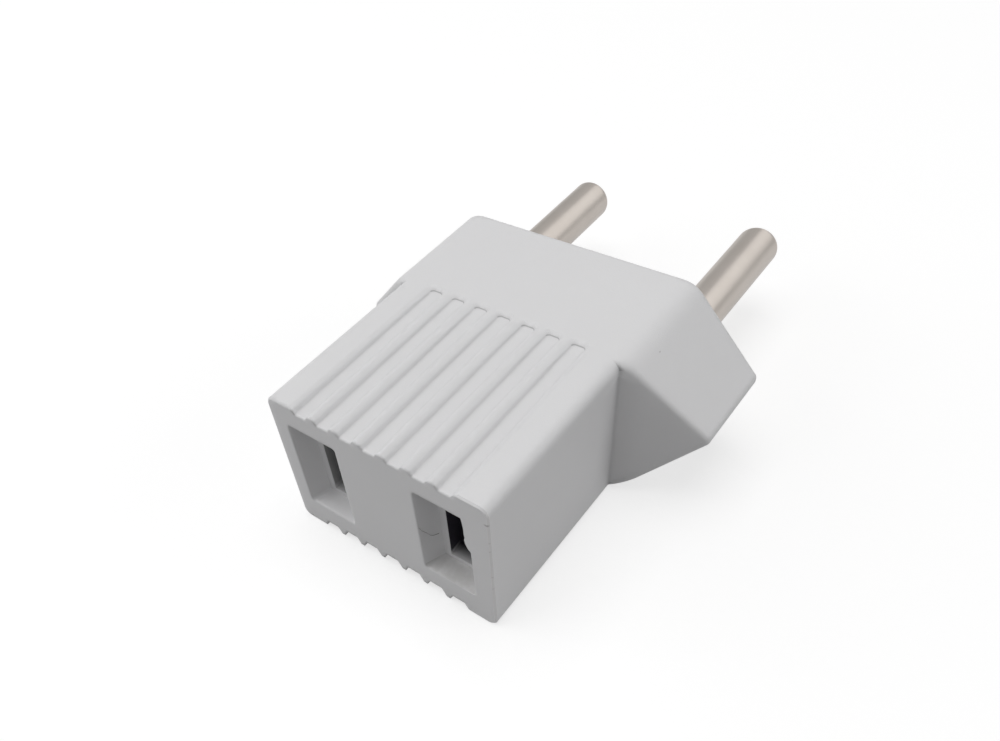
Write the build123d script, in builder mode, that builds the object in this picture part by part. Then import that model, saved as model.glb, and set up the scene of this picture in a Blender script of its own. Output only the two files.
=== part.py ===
from build123d import *
from math import atan2, tan
import os

# Travel plug adapter: a socket for two flat blades at one end, two round pins at the other.
# Millimetres. It lies on its grooved bottom: +Z is up, X runs across the two pins, and the pins point
# along +Y. The origin is below the middle of the whole length, on the surface that it lies on.

# Outside of the housing; distances along it are taken from the socket face
body_length = 28.6
body_height = 14.7
box_width = 21.3
box_edge_round = 0.85
wing_root = 17.0
wing_tip_front = 19.8
wing_span = 35.0
wing_overlap = 3.0
wing_tip_height = 0.66
box_overlap = 0.5
flare_flat_width = 22.0
flare_top_round = 2.45
flare_bottom_round = 6.0
wing_tip_round = 0.5
wing_front_round = 0.45
pin_end_round = 0.3
socket_edge_chamfer = 0.15

# Grip grooves, deepest at the socket face; below, the plastic has drawn in across the middle
groove_count = 7
groove_pitch = 2.32
groove_floor_width = 1.17
groove_depth_above = 0.55
groove_depth_below = 0.75
groove_end_depth = 0.3
groove_draft = 28.0
groove_length = 17.4
groove_corner_round = 0.3
groove_shoulder = 0.24
hollow_depth = 0.4
hollow_reach = 7.4

# Socket wells and the blade slots at their floors
blade_pitch = 12.7
well_rise = 0.3
well_mouth_width = 5.1
well_mouth_height = 9.4
well_floor_width = 3.7
well_floor_height = 9.0
well_depth = 1.8
well_corner_round = 0.3
slot_width = 2.4
slot_height = 8.0
slot_length = 3.6

# Inside of the housing
chamber_outer_wall = 1.5
rim_wall = 1.5
plate_ledge = 0.8
pin_room_depth = 4.0
middle_rib = 2.4

# Pin plate, set into the open pin end
plate_thickness = 3.0
plate_recess = 0.2
plate_clearance = 0.05
plate_corner_round = 0.6

# Pins
pin_pitch = 18.75
pin_diameter = 4.0
pin_length = 19.0
pin_drop = 0.75
pin_tip_round = 0.7
pin_clearance = 0.03
seat_diameter = 4.6
collar_diameter = 6.0
collar_thickness = 1.0
tail_diameter = 2.2
tail_head_diameter = 3.0
tail_head_thickness = 0.5

# Contact strips
strip_thickness = 0.4
strip_height = 5.0
strip_wall_gap = 0.1
strip_bend = 0.4
strip_jog = 1.5
pad_reach = 1.9
strip_nose = 7.2
tongue_gap = 1.1
tongue_bow = 0.55
tongue_length = 7.5
blade_reach = 18.0

# How close a face or an edge lies to a place to count as being there
near = 0.01

os.makedirs("parts", exist_ok=True)

# Places along the body that several pieces share
overall_length = body_length + pin_length
socket_face = -overall_length / 2
pin_face = socket_face + body_length
axis_height = body_height / 2
pin_height = axis_height - pin_drop
pin_x = pin_pitch / 2
blade_x = blade_pitch / 2
plate_face = pin_face - plate_recess
plate_seat = plate_face - plate_thickness
slot_end = socket_face + well_depth + slot_length
chamber_outer_x = box_width / 2 - chamber_outer_wall
chamber_inner_x = blade_x - slot_width / 2
wing_slope = atan2(body_height - wing_tip_height, wing_span - flare_flat_width)


def section_plane(y):
    """Plane across the body, centred at half its height and facing the socket end."""
    return Plane(origin=(0, y, axis_height), x_dir=(1, 0, 0), z_dir=(0, -1, 0))


def groove_plane(x, side, depth):
    """Floor of a groove above (side 1) or below (side -1) that has this depth at the socket face."""
    return Plane(
        origin=(x, socket_face, axis_height + side * (body_height / 2 - depth)),
        x_dir=(side, 0, 0),
        z_dir=(0, groove_end_depth - depth, side * groove_length),
    )


def flare_outline(inset, top_round, bottom_round, tip_round):
    """Six-sided outline of the pin end, moved inwards by an inset, in the sketch that is open."""
    half_flat = flare_flat_width / 2
    half_height = body_height / 2
    sharp_tip = half_flat + half_height / tan(wing_slope)
    Polygon(
        (half_flat, half_height),
        (-half_flat, half_height),
        (-sharp_tip, 0),
        (-half_flat, -half_height),
        (half_flat, -half_height),
        (sharp_tip, 0),
        align=None,
    )
    if inset > 0:
        offset(amount=-inset, kind=Kind.INTERSECTION)
    fillet(vertices().group_by(Axis.Y)[-1], top_round)
    fillet(vertices().group_by(Axis.Y)[0], bottom_round)
    Rectangle(wing_span, body_height, mode=Mode.INTERSECT)
    fillet(vertices().group_by(Axis.X)[0] + vertices().group_by(Axis.X)[-1], tip_round)


# Slanted front of the right wing, seen from above
wing_slant = atan2(wing_tip_front - wing_root, (wing_span - box_width) / 2)
wing_inner_x = box_width / 2 - wing_overlap
wing_inner_y = socket_face + wing_root - wing_overlap * tan(wing_slant)

with BuildPart() as housing:
    # Flared half, with its wing fronts cut on the slant
    with BuildSketch(section_plane(pin_face)):
        flare_outline(0, flare_top_round, flare_bottom_round, wing_tip_round)
    extrude(amount=pin_face - wing_inner_y)
    with BuildSketch(Plane.XY):
        Polygon(
            (wing_span / 2, pin_face),
            (wing_span / 2, socket_face + wing_tip_front),
            (wing_inner_x, wing_inner_y),
            (-wing_inner_x, wing_inner_y),
            (-wing_span / 2, socket_face + wing_tip_front),
            (-wing_span / 2, pin_face),
            align=None,
        )
    extrude(amount=body_height, mode=Mode.INTERSECT)
    wing_fronts = faces().filter_by(lambda face: face.normal_at().Y < -0.5 and abs(face.normal_at().X) > 0.1)
    wing_edges = wing_fronts.edges().filter_by(lambda edge: abs(edge.center().X) > wing_inner_x + near)
    fillet(wing_edges, wing_front_round)
    fillet(faces().sort_by(Axis.Y)[-1].edges(), pin_end_round)

    # Box-shaped socket half
    with BuildSketch(section_plane(socket_face)):
        RectangleRounded(box_width, body_height, box_edge_round)
    extrude(amount=-(wing_root + box_overlap))
    chamfer(faces().sort_by(Axis.Y)[0].edges(), socket_edge_chamfer)

    # Shallow hollow across the bottom, fading out at the groove ends
    hollow_radius = (hollow_reach**2 + hollow_depth**2) / (2 * hollow_depth)
    hollow_slant = (0, -groove_length, hollow_depth)
    with BuildSketch(Plane(origin=(0, socket_face, 0), x_dir=(1, 0, 0), z_dir=hollow_slant)):
        with Locations((0, hollow_depth - hollow_radius)):
            Circle(hollow_radius)
    extrude(amount=body_length, both=True, mode=Mode.SUBTRACT)

    # Grip grooves, open at the socket face; those below follow the hollow
    for number in range(groove_count):
        groove_x = (number - (groove_count - 1) / 2) * groove_pitch
        depth_below = groove_depth_below + hollow_depth * (1 - (groove_x / hollow_reach) ** 2)
        for side, depth in ((1, groove_depth_above), (-1, depth_below)):
            with BuildSketch(groove_plane(groove_x, side, depth)):
                RectangleRounded(groove_floor_width, 2 * groove_length, groove_corner_round)
    extrude(amount=2 * (groove_depth_below + hollow_depth), taper=-groove_draft, mode=Mode.SUBTRACT)

    # Eased shoulders of the grooves above
    ridge_front = socket_face + socket_edge_chamfer
    shoulders = faces().sort_by(Axis.Z)[-1].edges().filter_by(
        lambda edge: ridge_front + near < edge.center().Y < socket_face + wing_tip_front
        and abs(edge.center().X) < groove_count * groove_pitch / 2
    )
    chamfer(shoulders, groove_shoulder)

    # Socket wells, narrowing to the blade slots
    for well_x in (-blade_x, blade_x):
        with BuildSketch(section_plane(socket_face)):
            with Locations((well_x, well_rise)):
                RectangleRounded(well_mouth_width, well_mouth_height, well_corner_round)
        with BuildSketch(section_plane(socket_face + well_depth)):
            with Locations((well_x, well_rise)):
                RectangleRounded(well_floor_width, well_floor_height, well_corner_round)
        loft(ruled=True, mode=Mode.SUBTRACT)
    with BuildSketch(section_plane(socket_face + well_depth)):
        with Locations((0, well_rise)):
            with GridLocations(blade_pitch, 0, 2, 1):
                Rectangle(slot_width, slot_height)
    extrude(amount=-slot_length, mode=Mode.SUBTRACT)

    # Contact chambers behind the slots
    with BuildSketch(section_plane(slot_end)):
        with Locations((0, well_rise)):
            with GridLocations(chamber_inner_x + chamber_outer_x, 0, 2, 1):
                Rectangle(chamber_outer_x - chamber_inner_x, slot_height)
    extrude(amount=slot_end - plate_seat, mode=Mode.SUBTRACT)

    # Room for the pins' inner ends, parted by the middle rib, and the seat of the pin plate
    with BuildSketch(section_plane(plate_seat)):
        flare_outline(rim_wall + plate_ledge, plate_corner_round, plate_corner_round, plate_corner_round)
        Rectangle(middle_rib, body_height, mode=Mode.SUBTRACT)
    extrude(amount=pin_room_depth, mode=Mode.SUBTRACT)
    with BuildSketch(section_plane(pin_face)):
        flare_outline(rim_wall, plate_corner_round, plate_corner_round, plate_corner_round)
    extrude(amount=pin_face - plate_seat, mode=Mode.SUBTRACT)

with BuildPart() as pin_plate:
    with BuildSketch(section_plane(plate_seat)):
        flare_outline(rim_wall + plate_clearance, plate_corner_round, plate_corner_round, plate_corner_round)
        with Locations((0, -pin_drop)):
            with GridLocations(pin_pitch, 0, 2, 1):
                Circle(seat_diameter / 2 + pin_clearance, mode=Mode.SUBTRACT)
    extrude(amount=-plate_thickness)

# The pin's collar bears on the inner face of the plate, and its peened tail holds the contact strip
collar_face = plate_seat - collar_thickness
tail_head_face = collar_face - strip_thickness
with BuildPart() as right_pin:
    with BuildSketch(Plane((pin_x, 0, pin_height))):
        with BuildLine():
            Polyline(
                (0, pin_face + pin_length),
                (pin_diameter / 2, pin_face + pin_length),
                (pin_diameter / 2, plate_face),
                (seat_diameter / 2, plate_face),
                (seat_diameter / 2, plate_seat),
                (collar_diameter / 2, plate_seat),
                (collar_diameter / 2, collar_face),
                (tail_diameter / 2, collar_face),
                (tail_diameter / 2, tail_head_face),
                (tail_head_diameter / 2, tail_head_face),
                (tail_head_diameter / 2, tail_head_face - tail_head_thickness / 2),
                (tail_diameter / 2, tail_head_face - tail_head_thickness),
                (0, tail_head_face - tail_head_thickness),
                close=True,
            )
        make_face()
        fillet(vertices().sort_by(Axis.Y)[-2:].sort_by(Axis.X)[-1], pin_tip_round)
    revolve(axis=Axis((pin_x, 0, pin_height), (0, 1, 0)))

with BuildPart() as left_pin:
    mirror(right_pin.part, about=Plane.YZ)

# Strip seen from above: pad on the pin, leg along the outer wall, hairpin nose and spring tongue
pad_y = collar_face - strip_thickness / 2
leg_x = chamber_outer_x - strip_wall_gap - strip_thickness / 2
pad_bend_x = pin_x - pad_reach
nose_y = socket_face + strip_nose
tongue_x = leg_x - tongue_gap
with BuildPart() as right_contact:
    with BuildSketch(Plane.XY.offset(axis_height)):
        with BuildLine():
            FilletPolyline(
                (pin_x + pad_reach, pad_y),
                (pad_bend_x, pad_y),
                (pad_bend_x, socket_face + blade_reach + strip_jog),
                (leg_x, socket_face + blade_reach),
                (leg_x, nose_y),
                (tongue_x, nose_y),
                (tongue_x, nose_y + tongue_gap),
                (tongue_x - tongue_bow, nose_y + tongue_length / 2),
                (tongue_x, nose_y + tongue_length),
                radius=strip_bend,
            )
        trace(line_width=strip_thickness)
    extrude(amount=strip_height / 2, both=True)
    with BuildSketch(section_plane(collar_face)):
        with Locations((pin_x, -pin_drop)):
            Circle(tail_diameter / 2 + pin_clearance)
    extrude(amount=strip_thickness, mode=Mode.SUBTRACT)

with BuildPart() as left_contact:
    mirror(right_contact.part, about=Plane.YZ)

housing.part.label = "housing"
pin_plate.part.label = "pin_plate"
left_pin.part.label = "left_pin"
right_pin.part.label = "right_pin"
left_contact.part.label = "left_contact"
right_contact.part.label = "right_contact"

export_step(housing.part, "parts/housing.step")
export_step(pin_plate.part, "parts/pin_plate.step")
export_step(left_pin.part, "parts/left_pin.step")
export_step(right_pin.part, "parts/right_pin.step")
export_step(left_contact.part, "parts/left_contact.step")
export_step(right_contact.part, "parts/right_contact.step")
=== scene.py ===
import math

import bpy
from mathutils import Matrix, Vector


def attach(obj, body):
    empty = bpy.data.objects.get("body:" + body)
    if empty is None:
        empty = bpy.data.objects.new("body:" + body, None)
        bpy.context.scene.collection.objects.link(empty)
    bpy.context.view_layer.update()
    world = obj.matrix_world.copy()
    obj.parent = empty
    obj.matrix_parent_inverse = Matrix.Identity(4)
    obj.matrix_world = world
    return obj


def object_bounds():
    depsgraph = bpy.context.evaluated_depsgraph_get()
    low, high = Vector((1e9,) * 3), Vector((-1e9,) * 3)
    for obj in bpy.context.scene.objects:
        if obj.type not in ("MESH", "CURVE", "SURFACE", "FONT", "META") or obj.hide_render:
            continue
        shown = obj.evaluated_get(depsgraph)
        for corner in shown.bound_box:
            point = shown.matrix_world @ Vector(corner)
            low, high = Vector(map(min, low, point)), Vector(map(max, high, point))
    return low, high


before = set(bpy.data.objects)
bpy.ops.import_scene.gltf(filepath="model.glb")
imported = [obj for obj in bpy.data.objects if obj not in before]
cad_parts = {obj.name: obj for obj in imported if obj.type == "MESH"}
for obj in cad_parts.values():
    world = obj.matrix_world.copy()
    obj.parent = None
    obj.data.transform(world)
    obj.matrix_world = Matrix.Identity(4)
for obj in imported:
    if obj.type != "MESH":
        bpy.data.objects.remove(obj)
cad_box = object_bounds()

# Contact springs: a strip of thin rolled brass behind each blade slot, folded into a hairpin.
# The peened tail of the pin holds it, and all that shows is a dull glint deep in the slot.
mm = 0.001
brass_bright = (0.55, 0.40, 0.19, 1.0)
brass_tarnished = (0.20, 0.15, 0.09, 1.0)
bright_roughness = 0.35
tarnished_roughness = 0.55
tarnish_size = 0.9 * mm
rolling_line = 0.06 * mm
rolling_run = 40 * rolling_line
rolling_depth = 0.002 * mm


def new_finish(name):
    """New node material, with its node tree and its main shader."""
    material = bpy.data.materials.new(name)
    material.use_nodes = True
    return material, material.node_tree, material.node_tree.nodes["Principled BSDF"]


def add(tree, kind, inputs=None, **settings):
    """New node of that kind; an input is a plain value or another node's output."""
    node = tree.nodes.new("ShaderNode" + kind)
    for name, value in settings.items():
        setattr(node, name, value)
    for name, value in (inputs or {}).items():
        if isinstance(value, bpy.types.NodeSocket):
            tree.links.new(value, node.inputs[name])
        else:
            node.inputs[name].default_value = value
    return node


def blotches(tree, place, size, detail=2.0):
    """Noise from 0 to 1 in soft patches of about that size, or of three sizes along X, Y and Z."""
    sizes = size if isinstance(size, tuple) else (size, size, size)
    stretched = add(tree, "VectorMath", {0: place}, operation="MULTIPLY")
    stretched.inputs[1].default_value = [1 / step for step in sizes]
    noise = add(tree, "TexNoise", {"Vector": stretched.outputs[0], "Scale": 1.0, "Detail": detail})
    return noise.outputs["Fac"]


def fade(tree, value, start, end, low=0.0, high=1.0):
    """Goes from low to high while the value goes from start to end, and stays level outside."""
    ramp = add(tree, "MapRange", {"Value": value, "From Min": start, "From Max": end})
    ramp.inputs["To Min"].default_value = low
    ramp.inputs["To Max"].default_value = high
    return ramp.outputs["Result"]


def between_colours(tree, factor, low, high):
    """Blend of two colours, each a plain one or another node's output."""
    blend = add(tree, "Mix", {"Factor": factor}, data_type="RGBA")
    for name, value in (("A", low), ("B", high)):
        socket = next(s for s in blend.inputs if s.name == name and s.type == "RGBA")
        if isinstance(value, bpy.types.NodeSocket):
            tree.links.new(value, socket)
        else:
            socket.default_value = value
    return next(s for s in blend.outputs if s.type == "RGBA")


def between(tree, factor, low, high):
    """Factor from 0 to 1 spread over low to high: two numbers, or two colours."""
    if isinstance(low, tuple):
        return between_colours(tree, factor, low, high)
    return fade(tree, factor, 0.0, 1.0, low, high)


def contact_brass():
    """Dull rolled brass with cloudy tarnish and faint lines along the strip."""
    material, tree, surface = new_finish("contact_brass")
    place = add(tree, "TexCoord").outputs["Object"]
    tarnish = blotches(tree, place, tarnish_size)
    lines = blotches(tree, place, (rolling_line, rolling_run, rolling_line), detail=0.0)
    bump = add(tree, "Bump", {"Height": lines, "Distance": rolling_depth, "Strength": 1.0})
    roughness = between(tree, tarnish, tarnished_roughness, bright_roughness)
    surface.inputs["Metallic"].default_value = 1.0
    tree.links.new(between(tree, tarnish, brass_tarnished, brass_bright), surface.inputs["Base Color"])
    tree.links.new(roughness, surface.inputs["Roughness"])
    tree.links.new(bump.outputs["Normal"], surface.inputs["Normal"])
    return material


def dress(node, material):
    """Gives a solid of the frame its finish."""
    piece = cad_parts[node]
    piece.data.materials.clear()
    piece.data.materials.append(material)


brass = contact_brass()
dress("left_contact", brass)
dress("right_contact", brass)

# Pins: turned from brass rod and nickel plated to a warm satin grey.
# Each is pushed through the pin plate from inside until its collar stops it, and stands out at the back.
nickel_light = (0.63, 0.58, 0.535, 1.0)
nickel_dark = (0.57, 0.52, 0.475, 1.0)
nickel_roughness = 0.28
rubbed_roughness = 0.36
nickel_cloud = 2.5 * mm
turning_line = 0.05 * mm
turning_run = 40 * turning_line
turning_depth = 0.0012 * mm
rub_width = 0.12 * mm
rub_length = 5.0 * mm


def pin_nickel():
    """Satin plate over turning rings, with faint rub marks along the pin from use."""
    material, tree, surface = new_finish("pin_nickel")
    place = add(tree, "TexCoord").outputs["Object"]
    cloud = blotches(tree, place, nickel_cloud)
    rings = blotches(tree, place, (turning_run, turning_line, turning_run), detail=0.0)
    rubs = blotches(tree, place, (rub_width, rub_length, rub_width), detail=1.0)
    bump = add(tree, "Bump", {"Height": rings, "Distance": turning_depth, "Strength": 1.0})
    roughness = between(tree, rubs, nickel_roughness, rubbed_roughness)
    surface.inputs["Metallic"].default_value = 1.0
    tree.links.new(between(tree, cloud, nickel_dark, nickel_light), surface.inputs["Base Color"])
    tree.links.new(roughness, surface.inputs["Roughness"])
    tree.links.new(bump.outputs["Normal"], surface.inputs["Normal"])
    return material


nickel = pin_nickel()
dress("left_pin", nickel)
dress("right_pin", nickel)

# Pin plate: flat six-sided plate moulded in the same white plastic as the housing, with the same grain.
# It drops into the open pin end and carries both pins; only its rear face shows.
plate_white = (0.70, 0.698, 0.705, 1.0)
plate_shade = (0.66, 0.658, 0.665, 1.0)
smooth_roughness = 0.42
grained_roughness = 0.56
flow_cloud = 6.0 * mm
spark_grain = 0.11 * mm
spark_depth = 0.014 * mm
soft_samples = 8
edge_round = 0.12 * mm
side_round = 0.9 * mm
side_zone = (9.0 * mm, 9.6 * mm)
side_rise = (3 * mm, 9 * mm)
socket_face = -23.8 * mm
socket_zone = (socket_face + 0.8 * mm, socket_face + 1.0 * mm)
socket_round = 0.40 * mm
sharp_round = 0.03 * mm
right_margin = (7.9 * mm, 8.1 * mm)
left_edge_round = 1.0 * mm
left_margin = (-9.2 * mm, -9.6 * mm)
rib_level = 13.9 * mm
rib_zone = (rib_level, rib_level + 0.1 * mm)
rib_round = 0.50 * mm
wing_root = (10.65 * mm, -6.8 * mm)
wing_root_round = 1.3 * mm
wing_root_zone = (wing_root_round, 1.1 * wing_root_round)
# Painted shade: the inner corners of the grooves and the wing roots are darkened toward this grey where they
# are closed in.
crease_shade_grey = (0.34, 0.335, 0.34, 1.0)
rib_crease_reach = 0.6 * mm
root_crease_reach = 3.0 * mm
root_crease_zone = (4.0 * mm, 4.2 * mm)
root_crease_top = (12.6 * mm, 13.4 * mm)
closed_in = 0.65
half_closed_in = 0.85
wall_turn = 0.5
left_wall_share = 0.17
right_wall_share = 0.09
end_turn = 0.4
groove_end_share = 0.8
wing_root_share = 0.33


def calculate(tree, operation, *values):
    """One step of arithmetic on numbers or other nodes' outputs."""
    return add(tree, "Math", dict(enumerate(values)), operation=operation).outputs[0]


def root_distance(tree, axes):
    """Distance in plan from the inner corner where either wing leaves the box."""
    across = calculate(tree, "SUBTRACT", calculate(tree, "ABSOLUTE", axes["X"]), wing_root[0])
    along = calculate(tree, "SUBTRACT", axes["Y"], wing_root[1])
    across_squared = calculate(tree, "POWER", across, 2.0)
    along_squared = calculate(tree, "POWER", along, 2.0)
    return calculate(tree, "SQRT", calculate(tree, "ADD", across_squared, along_squared))


def edge_softness(tree, axes, from_root):
    """Radius of the edges: large at sides, ribs, wells and wing roots, sharp at the right socket corner."""
    across = calculate(tree, "ABSOLUTE", axes["X"])
    on_side = fade(tree, across, *side_zone)
    above_foot = fade(tree, axes["Z"], *side_rise)
    at_sides = calculate(tree, "MULTIPLY", on_side, above_foot)
    off_ribs = between(tree, at_sides, edge_round, side_round)
    near_root = fade(tree, from_root, *wing_root_zone, wing_root_round, 0.0)
    at_root = calculate(tree, "MAXIMUM", near_root, off_ribs)
    at_ribs = fade(tree, axes["Z"], *rib_zone, 0.0, rib_round)
    right_corner = fade(tree, axes["X"], *right_margin, socket_round, sharp_round)
    left_edge = fade(tree, axes["X"], *left_margin, 0.0, left_edge_round)
    on_face = calculate(tree, "MAXIMUM", right_corner, left_edge)
    behind = fade(tree, axes["Y"], *socket_zone)
    at_socket = calculate(tree, "MULTIPLY", calculate(tree, "SUBTRACT", 1.0, behind), on_face)
    away_from_socket = calculate(tree, "MULTIPLY", behind, calculate(tree, "MAXIMUM", at_root, at_ribs))
    return calculate(tree, "ADD", at_socket, away_from_socket)


def crease_shade(tree, axes, from_root):
    """How much painted shade darkens the inner corners: most at groove ends, less in grooves and wing roots.
    """
    at_ribs = fade(tree, axes["Z"], *rib_zone, 0.0, rib_crease_reach)
    near_root = fade(tree, from_root, *root_crease_zone, root_crease_reach, 0.0)
    below_top = fade(tree, axes["Z"], *root_crease_top, 1.0, 0.0)
    at_root = calculate(tree, "MULTIPLY", near_root, below_top)
    reach = calculate(tree, "MAXIMUM", at_ribs, at_root)
    shelter = add(tree, "AmbientOcclusion", {"Distance": reach}, samples=soft_samples, only_local=True)
    openness = shelter.outputs["AO"]
    facing = add(tree, "SeparateXYZ", {0: add(tree, "TexCoord").outputs["Normal"]}).outputs
    shaded = fade(tree, openness, 1.0, closed_in)
    # Painted shade is heavier on groove walls facing +X than on those facing -X, and heaviest on end walls
    # facing -Y.
    left_walls = fade(tree, facing["X"], 0.0, wall_turn, 0.0, left_wall_share)
    right_walls = fade(tree, facing["X"], 0.0, -wall_turn, 0.0, right_wall_share)
    walls = calculate(tree, "MULTIPLY", shaded, calculate(tree, "MAXIMUM", left_walls, right_walls))
    end_walls = fade(tree, facing["Y"], 0.0, -end_turn, 0.0, groove_end_share)
    ends = calculate(tree, "MULTIPLY", fade(tree, openness, 1.0, half_closed_in), end_walls)
    on_ribs = calculate(tree, "GREATER_THAN", at_ribs, 0.0)
    ribs = calculate(tree, "MULTIPLY", on_ribs, calculate(tree, "MAXIMUM", walls, ends))
    on_root = calculate(tree, "GREATER_THAN", at_root, 0.0)
    roots = calculate(tree, "MULTIPLY", on_root, calculate(tree, "MULTIPLY", shaded, wing_root_share))
    return calculate(tree, "MAXIMUM", ribs, roots)


def moulded_plastic(name, light, shade, marks=None):
    """Satin white plastic with faint flow clouds, a spark-worn mould's grain and painted shade in its inner
    corners; marks alter its colour.
    """
    material, tree, surface = new_finish(name)
    place = add(tree, "TexCoord").outputs["Object"]
    axes = add(tree, "SeparateXYZ", {0: place}).outputs
    from_root = root_distance(tree, axes)
    softness = edge_softness(tree, axes, from_root)
    soft_edges = add(tree, "Bevel", {"Radius": softness}, samples=soft_samples).outputs["Normal"]
    grain = blotches(tree, place, spark_grain, detail=1.0)
    bump = add(tree, "Bump", {"Height": grain, "Distance": spark_depth, "Strength": 1.0})
    tree.links.new(soft_edges, bump.inputs["Normal"])
    colour = between(tree, blotches(tree, place, flow_cloud), shade, light)
    # Painted shade in the inner corners, by how closed in they are.
    colour = between_colours(tree, crease_shade(tree, axes, from_root), colour, crease_shade_grey)
    if marks:
        colour = marks(tree, place, axes, colour)
    roughness = between(tree, grain, smooth_roughness, grained_roughness)
    tree.links.new(colour, surface.inputs["Base Color"])
    tree.links.new(roughness, surface.inputs["Roughness"])
    tree.links.new(bump.outputs["Normal"], surface.inputs["Normal"])
    return material


dress("pin_plate", moulded_plastic("plate_plastic", plate_white, plate_shade))

# Housing: one white shell from a single mould, with the grip grooves, the wings and both socket wells.
# The pin plate closes it at the back. Painted shade darkens both slots inwards, more so in the right one,
# and lies in patches on the right well's floor; painted light lines run down both front corners, and the
# corner beside the right well carries small rubbed marks.
housing_white = (0.729, 0.727, 0.735, 1.0)
housing_shade = (0.709, 0.706, 0.713, 1.0)
well_depth = 1.8 * mm
well_floor = socket_face + well_depth
# Painted shade in the slots: it deepens inwards and up from the slot floor, grey to near black on the left
# and near black on the right.
slot_mouth = well_floor + 0.03 * mm
slot_bottom = 3.65 * mm
slot_span_across = (7.15 * mm, 2.15 * mm)
slot_span_up = (7.6 * mm, 4.2 * mm)
slot_shade_zone = (well_floor + 0.1 * mm, well_floor + 1.3 * mm)
slot_shade_rise = (slot_bottom, slot_bottom + 0.5 * mm)
left_slot_shade = (0.38, 0.38, 0.38, 1.0)
left_slot_shade_deep = (0.07, 0.065, 0.085, 1.0)
left_slot_shade_zone = (well_floor, well_floor + 2.6 * mm)
right_slot_shade = (0.030, 0.026, 0.036, 1.0)
# Painted shade in patches on the right well's floor, its sill.
sill_shade_grey = (0.58, 0.575, 0.57, 1.0)
sill_span_across = (6.35 * mm, 2.6 * mm)
sill_span_along = (socket_face + 0.95 * mm, 0.9 * mm)
sill_top = 3.3 * mm
sill_shade_patch = 0.9 * mm
sill_shade_zone = (0.35, 0.6)
thin_sill_shade = 0.5
# Painted light: a paler line down both front corners, where the socket face meets the sides.
edge_light = (0.84, 0.83, 0.835, 1.0)
edge_light_from = 10.47 * mm
edge_light_depth = 0.18 * mm
mark_grey = (0.30, 0.28, 0.28, 1.0)
mark_squash = (1.0, 1.0, 2.0)
mark_core = 0.4
rubbed_marks = (
    ((10.45 * mm, socket_face, 13.1 * mm), 0.28 * mm, 0.6),
    ((10.58 * mm, socket_face, 11.1 * mm), 0.15 * mm, 0.3),
    ((10.60 * mm, socket_face, 10.1 * mm), 0.16 * mm, 0.35),
    ((10.62 * mm, socket_face, 6.9 * mm), 0.18 * mm, 0.3),
    ((10.62 * mm, socket_face, 5.4 * mm), 0.20 * mm, 0.25),
    ((12.03 * mm, -3.0 * mm, 13.6 * mm), 0.13 * mm, 0.5),
)


def all_of(tree, *tests):
    """1 where every test is 1: a kind, a value and a limit, or a span's middle and half width."""
    result = 1.0
    for kind, *values in tests:
        result = calculate(tree, "MULTIPLY", result, calculate(tree, kind, *values))
    return result


def slot_shade_and_marks(tree, place, axes, colour):
    """Painted shade deepening inwards in both slots and in patches on the right sill, painted light on both
    front corners, grey marks.
    """
    across = calculate(tree, "ABSOLUTE", axes["X"])
    # Painted shade in both slots, deeper inwards and up from the slot floor.
    depth = fade(tree, axes["Y"], *slot_shade_zone)
    rise = fade(tree, axes["Z"], *slot_shade_rise)
    in_slot = all_of(
        tree,
        ("COMPARE", across, *slot_span_across),
        ("COMPARE", axes["Z"], *slot_span_up),
        ("GREATER_THAN", axes["Y"], slot_mouth),
    )
    on_right = calculate(tree, "GREATER_THAN", axes["X"], 0.0)
    left = between_colours(tree, fade(tree, axes["Y"], *left_slot_shade_zone), left_slot_shade, left_slot_shade_deep)
    slot_shade = between_colours(tree, on_right, left, right_slot_shade)
    thickness = calculate(tree, "MULTIPLY", in_slot, calculate(tree, "MAXIMUM", depth, rise))
    colour = between_colours(tree, thickness, colour, slot_shade)
    # Painted shade in patches on the right well's floor.
    on_sill = all_of(
        tree,
        ("COMPARE", axes["X"], *sill_span_across),
        ("COMPARE", axes["Y"], *sill_span_along),
        ("LESS_THAN", axes["Z"], sill_top),
    )
    patches = fade(tree, blotches(tree, place, sill_shade_patch), *sill_shade_zone, thin_sill_shade, 1.0)
    sill_shade = calculate(tree, "MULTIPLY", on_sill, patches)
    colour = between_colours(tree, sill_shade, colour, sill_shade_grey)
    # Painted light along both front corners.
    on_corner = all_of(
        tree,
        ("GREATER_THAN", across, edge_light_from),
        ("LESS_THAN", axes["Y"], socket_face + edge_light_depth),
    )
    colour = between_colours(tree, on_corner, colour, edge_light)
    stretched = add(tree, "VectorMath", {0: place, 1: mark_squash}, operation="MULTIPLY").outputs[0]
    for spot, size, strength in rubbed_marks:
        centre = Vector(spot) * Vector(mark_squash)
        away = add(tree, "VectorMath", {0: stretched, 1: centre}, operation="DISTANCE").outputs["Value"]
        rubbed = fade(tree, away, size, mark_core * size, 0.0, strength)
        colour = between_colours(tree, rubbed, colour, mark_grey)
    return colour


housing_plastic = moulded_plastic("housing_plastic", housing_white, housing_shade, slot_shade_and_marks)
dress("housing", housing_plastic)

# Flash: a film of the housing's plastic that crept into the right well's mouth between the mould halves.
# It hangs from the mouth's right edge, wide at the top and torn off lower down.
mouth_right_edge = 8.9 * mm
flash_inset = 0.01 * mm
flash_thickness = 0.06 * mm
flash_root = 0.04 * mm
flash_shape = (
    (12.37, 0.72), (11.80, 0.63), (11.10, 0.57), (10.50, 0.58), (10.20, 0.53), (9.90, 0.61),
    (9.45, 0.55), (9.00, 0.37), (8.70, 0.12), (7.80, 0.09), (6.90, 0.11), (5.20, 0.08), (3.40, 0.03),
)


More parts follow.
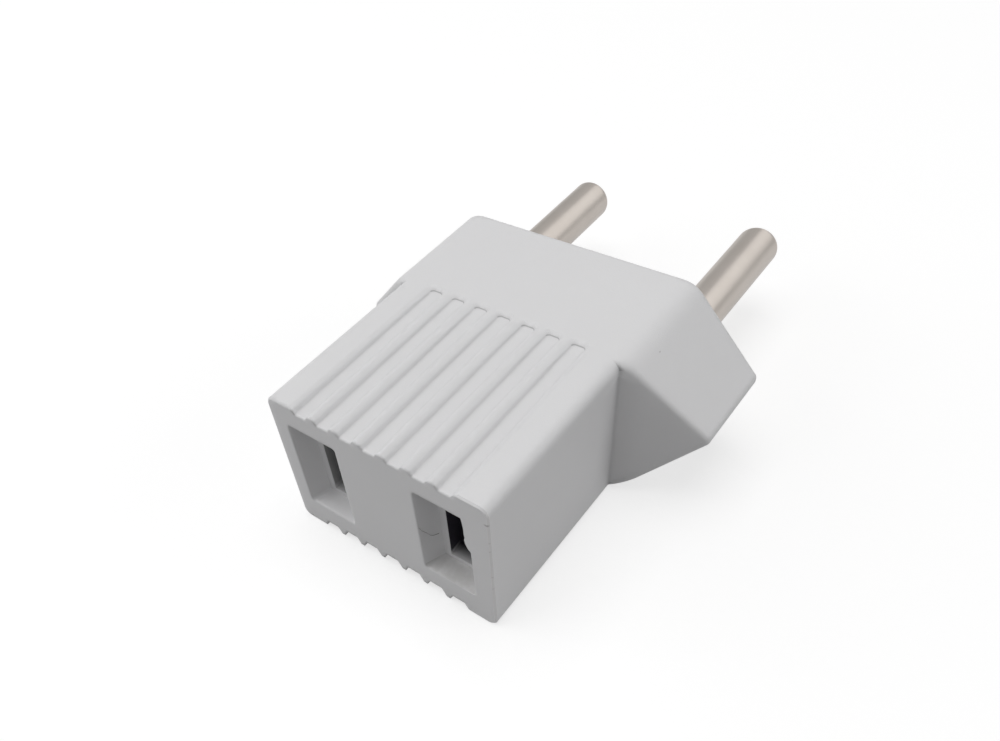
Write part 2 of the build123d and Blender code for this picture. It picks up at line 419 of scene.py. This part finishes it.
def closed_skin(name, rings, material):
    """Closed mesh over rings of points, each ring turning to the right on the way from first to last."""
    count = len(rings[0])
    points = [point for ring in rings for point in ring]
    faces = [tuple(reversed(range(count)))]
    for start in range(0, len(points) - count, count):
        for side in range(count):
            beside = (side + 1) % count
            faces.append((start + side, start + beside, start + count + beside, start + count + side))
    faces.append(tuple(range(len(points) - count, len(points))))
    mesh = bpy.data.meshes.new(name)
    mesh.from_pydata(points, [], faces)
    mesh.materials.append(material)
    piece = bpy.data.objects.new(name, mesh)
    bpy.context.scene.collection.objects.link(piece)
    return piece


def flash_rings():
    """Sections of the film down the mouth, from heights and reaches in millimetres."""
    front = socket_face + flash_inset
    back = socket_face + flash_thickness
    root = mouth_right_edge + flash_root
    for height, reach in flash_shape:
        torn = mouth_right_edge - reach * mm
        outline = ((root, front), (torn, front), (torn, back), (root, back))
        yield [(across, along, height * mm) for across, along in outline]


well_flash = closed_skin("well_flash", list(flash_rings()), housing_plastic)
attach(well_flash, "root")

# Hair: a short dark brown hair, caught by chance in the right well.
# It clings to the well's left wall and bends from the mouth to near the floor.
hair_brown = (0.10, 0.085, 0.08, 1.0)
hair_pale = (0.22, 0.20, 0.19, 1.0)
hair_roughness = 0.6
hair_patch = 0.5 * mm
hair_radius = 0.022 * mm
hair_stand = 0.5
hair_sides = 6
hair_way = (
    (0.02, 8.06), (0.25, 7.47), (0.60, 6.93), (0.80, 6.50), (1.03, 6.27), (1.28, 6.18), (1.53, 6.16),
)
mouth_left_edge = 3.8 * mm
well_taper = 0.7 * mm
wall_lean = well_taper / well_depth


def hair_finish():
    """Dull dark brown, paler in places along its length."""
    material, tree, surface = new_finish("hair_brown")
    place = add(tree, "TexCoord").outputs["Object"]
    colour = between(tree, blotches(tree, place, hair_patch), hair_brown, hair_pale)
    tree.links.new(colour, surface.inputs["Base Color"])
    surface.inputs["Roughness"].default_value = hair_roughness
    return material


def hair_rings():
    """Sections of the hair along the wall, through depths below the mouth and heights in millimetres."""
    for depth, height in hair_way:
        wall = mouth_left_edge + wall_lean * depth * mm
        ring = []
        for side in range(hair_sides):
            turn = -2 * math.pi * side / hair_sides
            out = wall + hair_radius * (hair_stand + math.cos(turn))
            ring.append((out, socket_face + depth * mm, height * mm + hair_radius * math.sin(turn)))
        yield ring


well_hair = closed_skin("well_hair", list(hair_rings()), hair_finish())
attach(well_hair, "root")

# Floor and light: a pale table top under one wide soft box, with weaker ones left front, right and left.
# The left one stays out of reflections. Three cards behind the object stand only in them: two grey ones
# that darken the pins' sides, and a bright one for the light along their middle.
white = (1.0, 1.0, 1.0, 1.0)
black = (0.0, 0.0, 0.0, 1.0)
floor_size = 4.0
floor_pale = (0.40, 0.40, 0.40, 1.0)
floor_roughness = 0.9
floor_lift = 0.66
floor_lift_zone = (0.2, 1.0)
floor_shine = 0.65
ambient_strength = 0.18


def seen_as_background(tree, shine=1.0):
    """1 for what the eye or a clear surface shows, shine for a shiny one, 0 for the light on the object."""
    path = add(tree, "LightPath").outputs
    direct = calculate(tree, "MAXIMUM", path["Is Camera Ray"], path["Is Transmission Ray"])
    return calculate(tree, "MAXIMUM", direct, calculate(tree, "MULTIPLY", path["Is Glossy Ray"], shine))


def pale_floor():
    """Matt pale surface; to the eye it is lifted to white, and it still darkens in the shadow."""
    material, tree, surface = new_finish("pale_floor")
    surface.inputs["Base Color"].default_value = floor_pale
    surface.inputs["Roughness"].default_value = floor_roughness
    surface.inputs["Specular IOR Level"].default_value = 0.0
    place = add(tree, "TexCoord").outputs["Object"]
    away = add(tree, "VectorMath", {0: place}, operation="LENGTH").outputs["Value"]
    wanted = fade(tree, away, *floor_lift_zone, floor_lift, 1.0)
    lift = calculate(tree, "MULTIPLY", seen_as_background(tree, floor_shine), wanted)
    surface.inputs["Emission Color"].default_value = white
    tree.links.new(lift, surface.inputs["Emission Strength"])
    return material


bpy.ops.mesh.primitive_plane_add(size=floor_size)
floor = bpy.context.object
floor.name = "floor"
floor.data.materials.append(pale_floor())

world = bpy.data.worlds.new("studio")
bpy.context.scene.world = world
world.use_nodes = True
studio = world.node_tree
ambient = studio.nodes["Background"]
ambient.inputs["Color"].default_value = white
ambient.inputs["Strength"].default_value = ambient_strength
backdrop = add(studio, "Background", {"Color": white, "Strength": 1.0})
surroundings = {0: seen_as_background(studio), 1: ambient.outputs[0], 2: backdrop.outputs[0]}
either = add(studio, "MixShader", surroundings)
studio.links.new(either.outputs[0], studio.nodes["World Output"].inputs["Surface"])

middle = (cad_box[0] + cad_box[1]) / 2


def soft_box(name, place, size, power):
    """Square area lamp at a place, facing the middle of the object."""
    lamp = bpy.data.lights.new(name, "AREA")
    lamp.size = size
    lamp.energy = power
    lamp_object = bpy.data.objects.new(name, lamp)
    lamp_object.location = place
    lamp_object.rotation_euler = (middle - Vector(place)).to_track_quat("-Z", "Y").to_euler()
    bpy.context.scene.collection.objects.link(lamp_object)
    return lamp_object


soft_box("overhead", place=(-0.06, 0.0, 0.60), size=0.50, power=2.06)
soft_box("front_fill", place=(-0.37, -0.37, 0.30), size=0.40, power=0.83)
soft_box("right_fill", place=(0.53, 0.19, 0.21), size=0.40, power=0.88)
left_fill = soft_box("left_fill", place=(-0.50, -0.10, 0.22), size=0.30, power=0.36)
left_fill.visible_glossy = False

card_distance = 0.5
card_steps = 12


def card(name, azimuths, elevations, glow):
    """Curved card around the object, from azimuth to azimuth, that only shiny surfaces show."""
    points = []
    for step in range(card_steps + 1):
        azimuth = math.radians(azimuths[0] + (azimuths[1] - azimuths[0]) * step / card_steps)
        for elevation in map(math.radians, elevations):
            level = card_distance * math.cos(elevation)
            height = card_distance * math.sin(elevation)
            points.append((level * math.cos(azimuth), level * math.sin(azimuth), height))
    faces = [(2 * step, 2 * step + 2, 2 * step + 3, 2 * step + 1) for step in range(card_steps)]
    mesh = bpy.data.meshes.new(name)
    mesh.from_pydata(points, [], faces)
    material, _, surface = new_finish(name)
    surface.inputs["Base Color"].default_value = black
    surface.inputs["Specular IOR Level"].default_value = 0.0
    surface.inputs["Emission Color"].default_value = white
    surface.inputs["Emission Strength"].default_value = glow
    mesh.materials.append(material)
    piece = bpy.data.objects.new(name, mesh)
    bpy.context.scene.collection.objects.link(piece)
    piece.visible_camera = False
    piece.visible_diffuse = False
    piece.visible_transmission = False
    piece.visible_shadow = False


card("left_card", azimuths=(99, 165), elevations=(0, 56), glow=0.52)
card("low_card", azimuths=(10, 85), elevations=(0, 20), glow=0.50)
card("bright_card", azimuths=(50, 84), elevations=(30, 46), glow=1.12)

# Camera: close above the right front corner, looking down on the grooves and into the socket wells.
# It is turned a little, and its place and lens are those of the photograph.
photo_width = 1000
photo_height = 741
lens_pixels = 811.884
lens_centre = (409.026, 498.746)
nearest_seen = 1 * mm
camera_place = (31.629 * mm, -49.6285 * mm, 56.598 * mm)
camera_azimuth = 47.5104
camera_elevation = 49.8214
camera_roll = -11.1387

camera = bpy.data.cameras.new("camera")
camera.sensor_fit = "HORIZONTAL"
camera.lens = lens_pixels / photo_width * camera.sensor_width
camera.shift_x = (photo_width / 2 - lens_centre[0]) / photo_width
camera.shift_y = (lens_centre[1] - photo_height / 2) / photo_width
camera.clip_start = nearest_seen
camera_object = bpy.data.objects.new("camera", camera)
camera_object.matrix_world = (
    Matrix.Translation(camera_place)
    @ Matrix.Rotation(math.radians(camera_azimuth), 4, "Z")
    @ Matrix.Rotation(math.radians(90 - camera_elevation), 4, "X")
    @ Matrix.Rotation(math.radians(camera_roll), 4, "Z")
)
bpy.context.scene.collection.objects.link(camera_object)
bpy.context.scene.camera = camera_object
bpy.context.scene.view_settings.view_transform = "Standard"
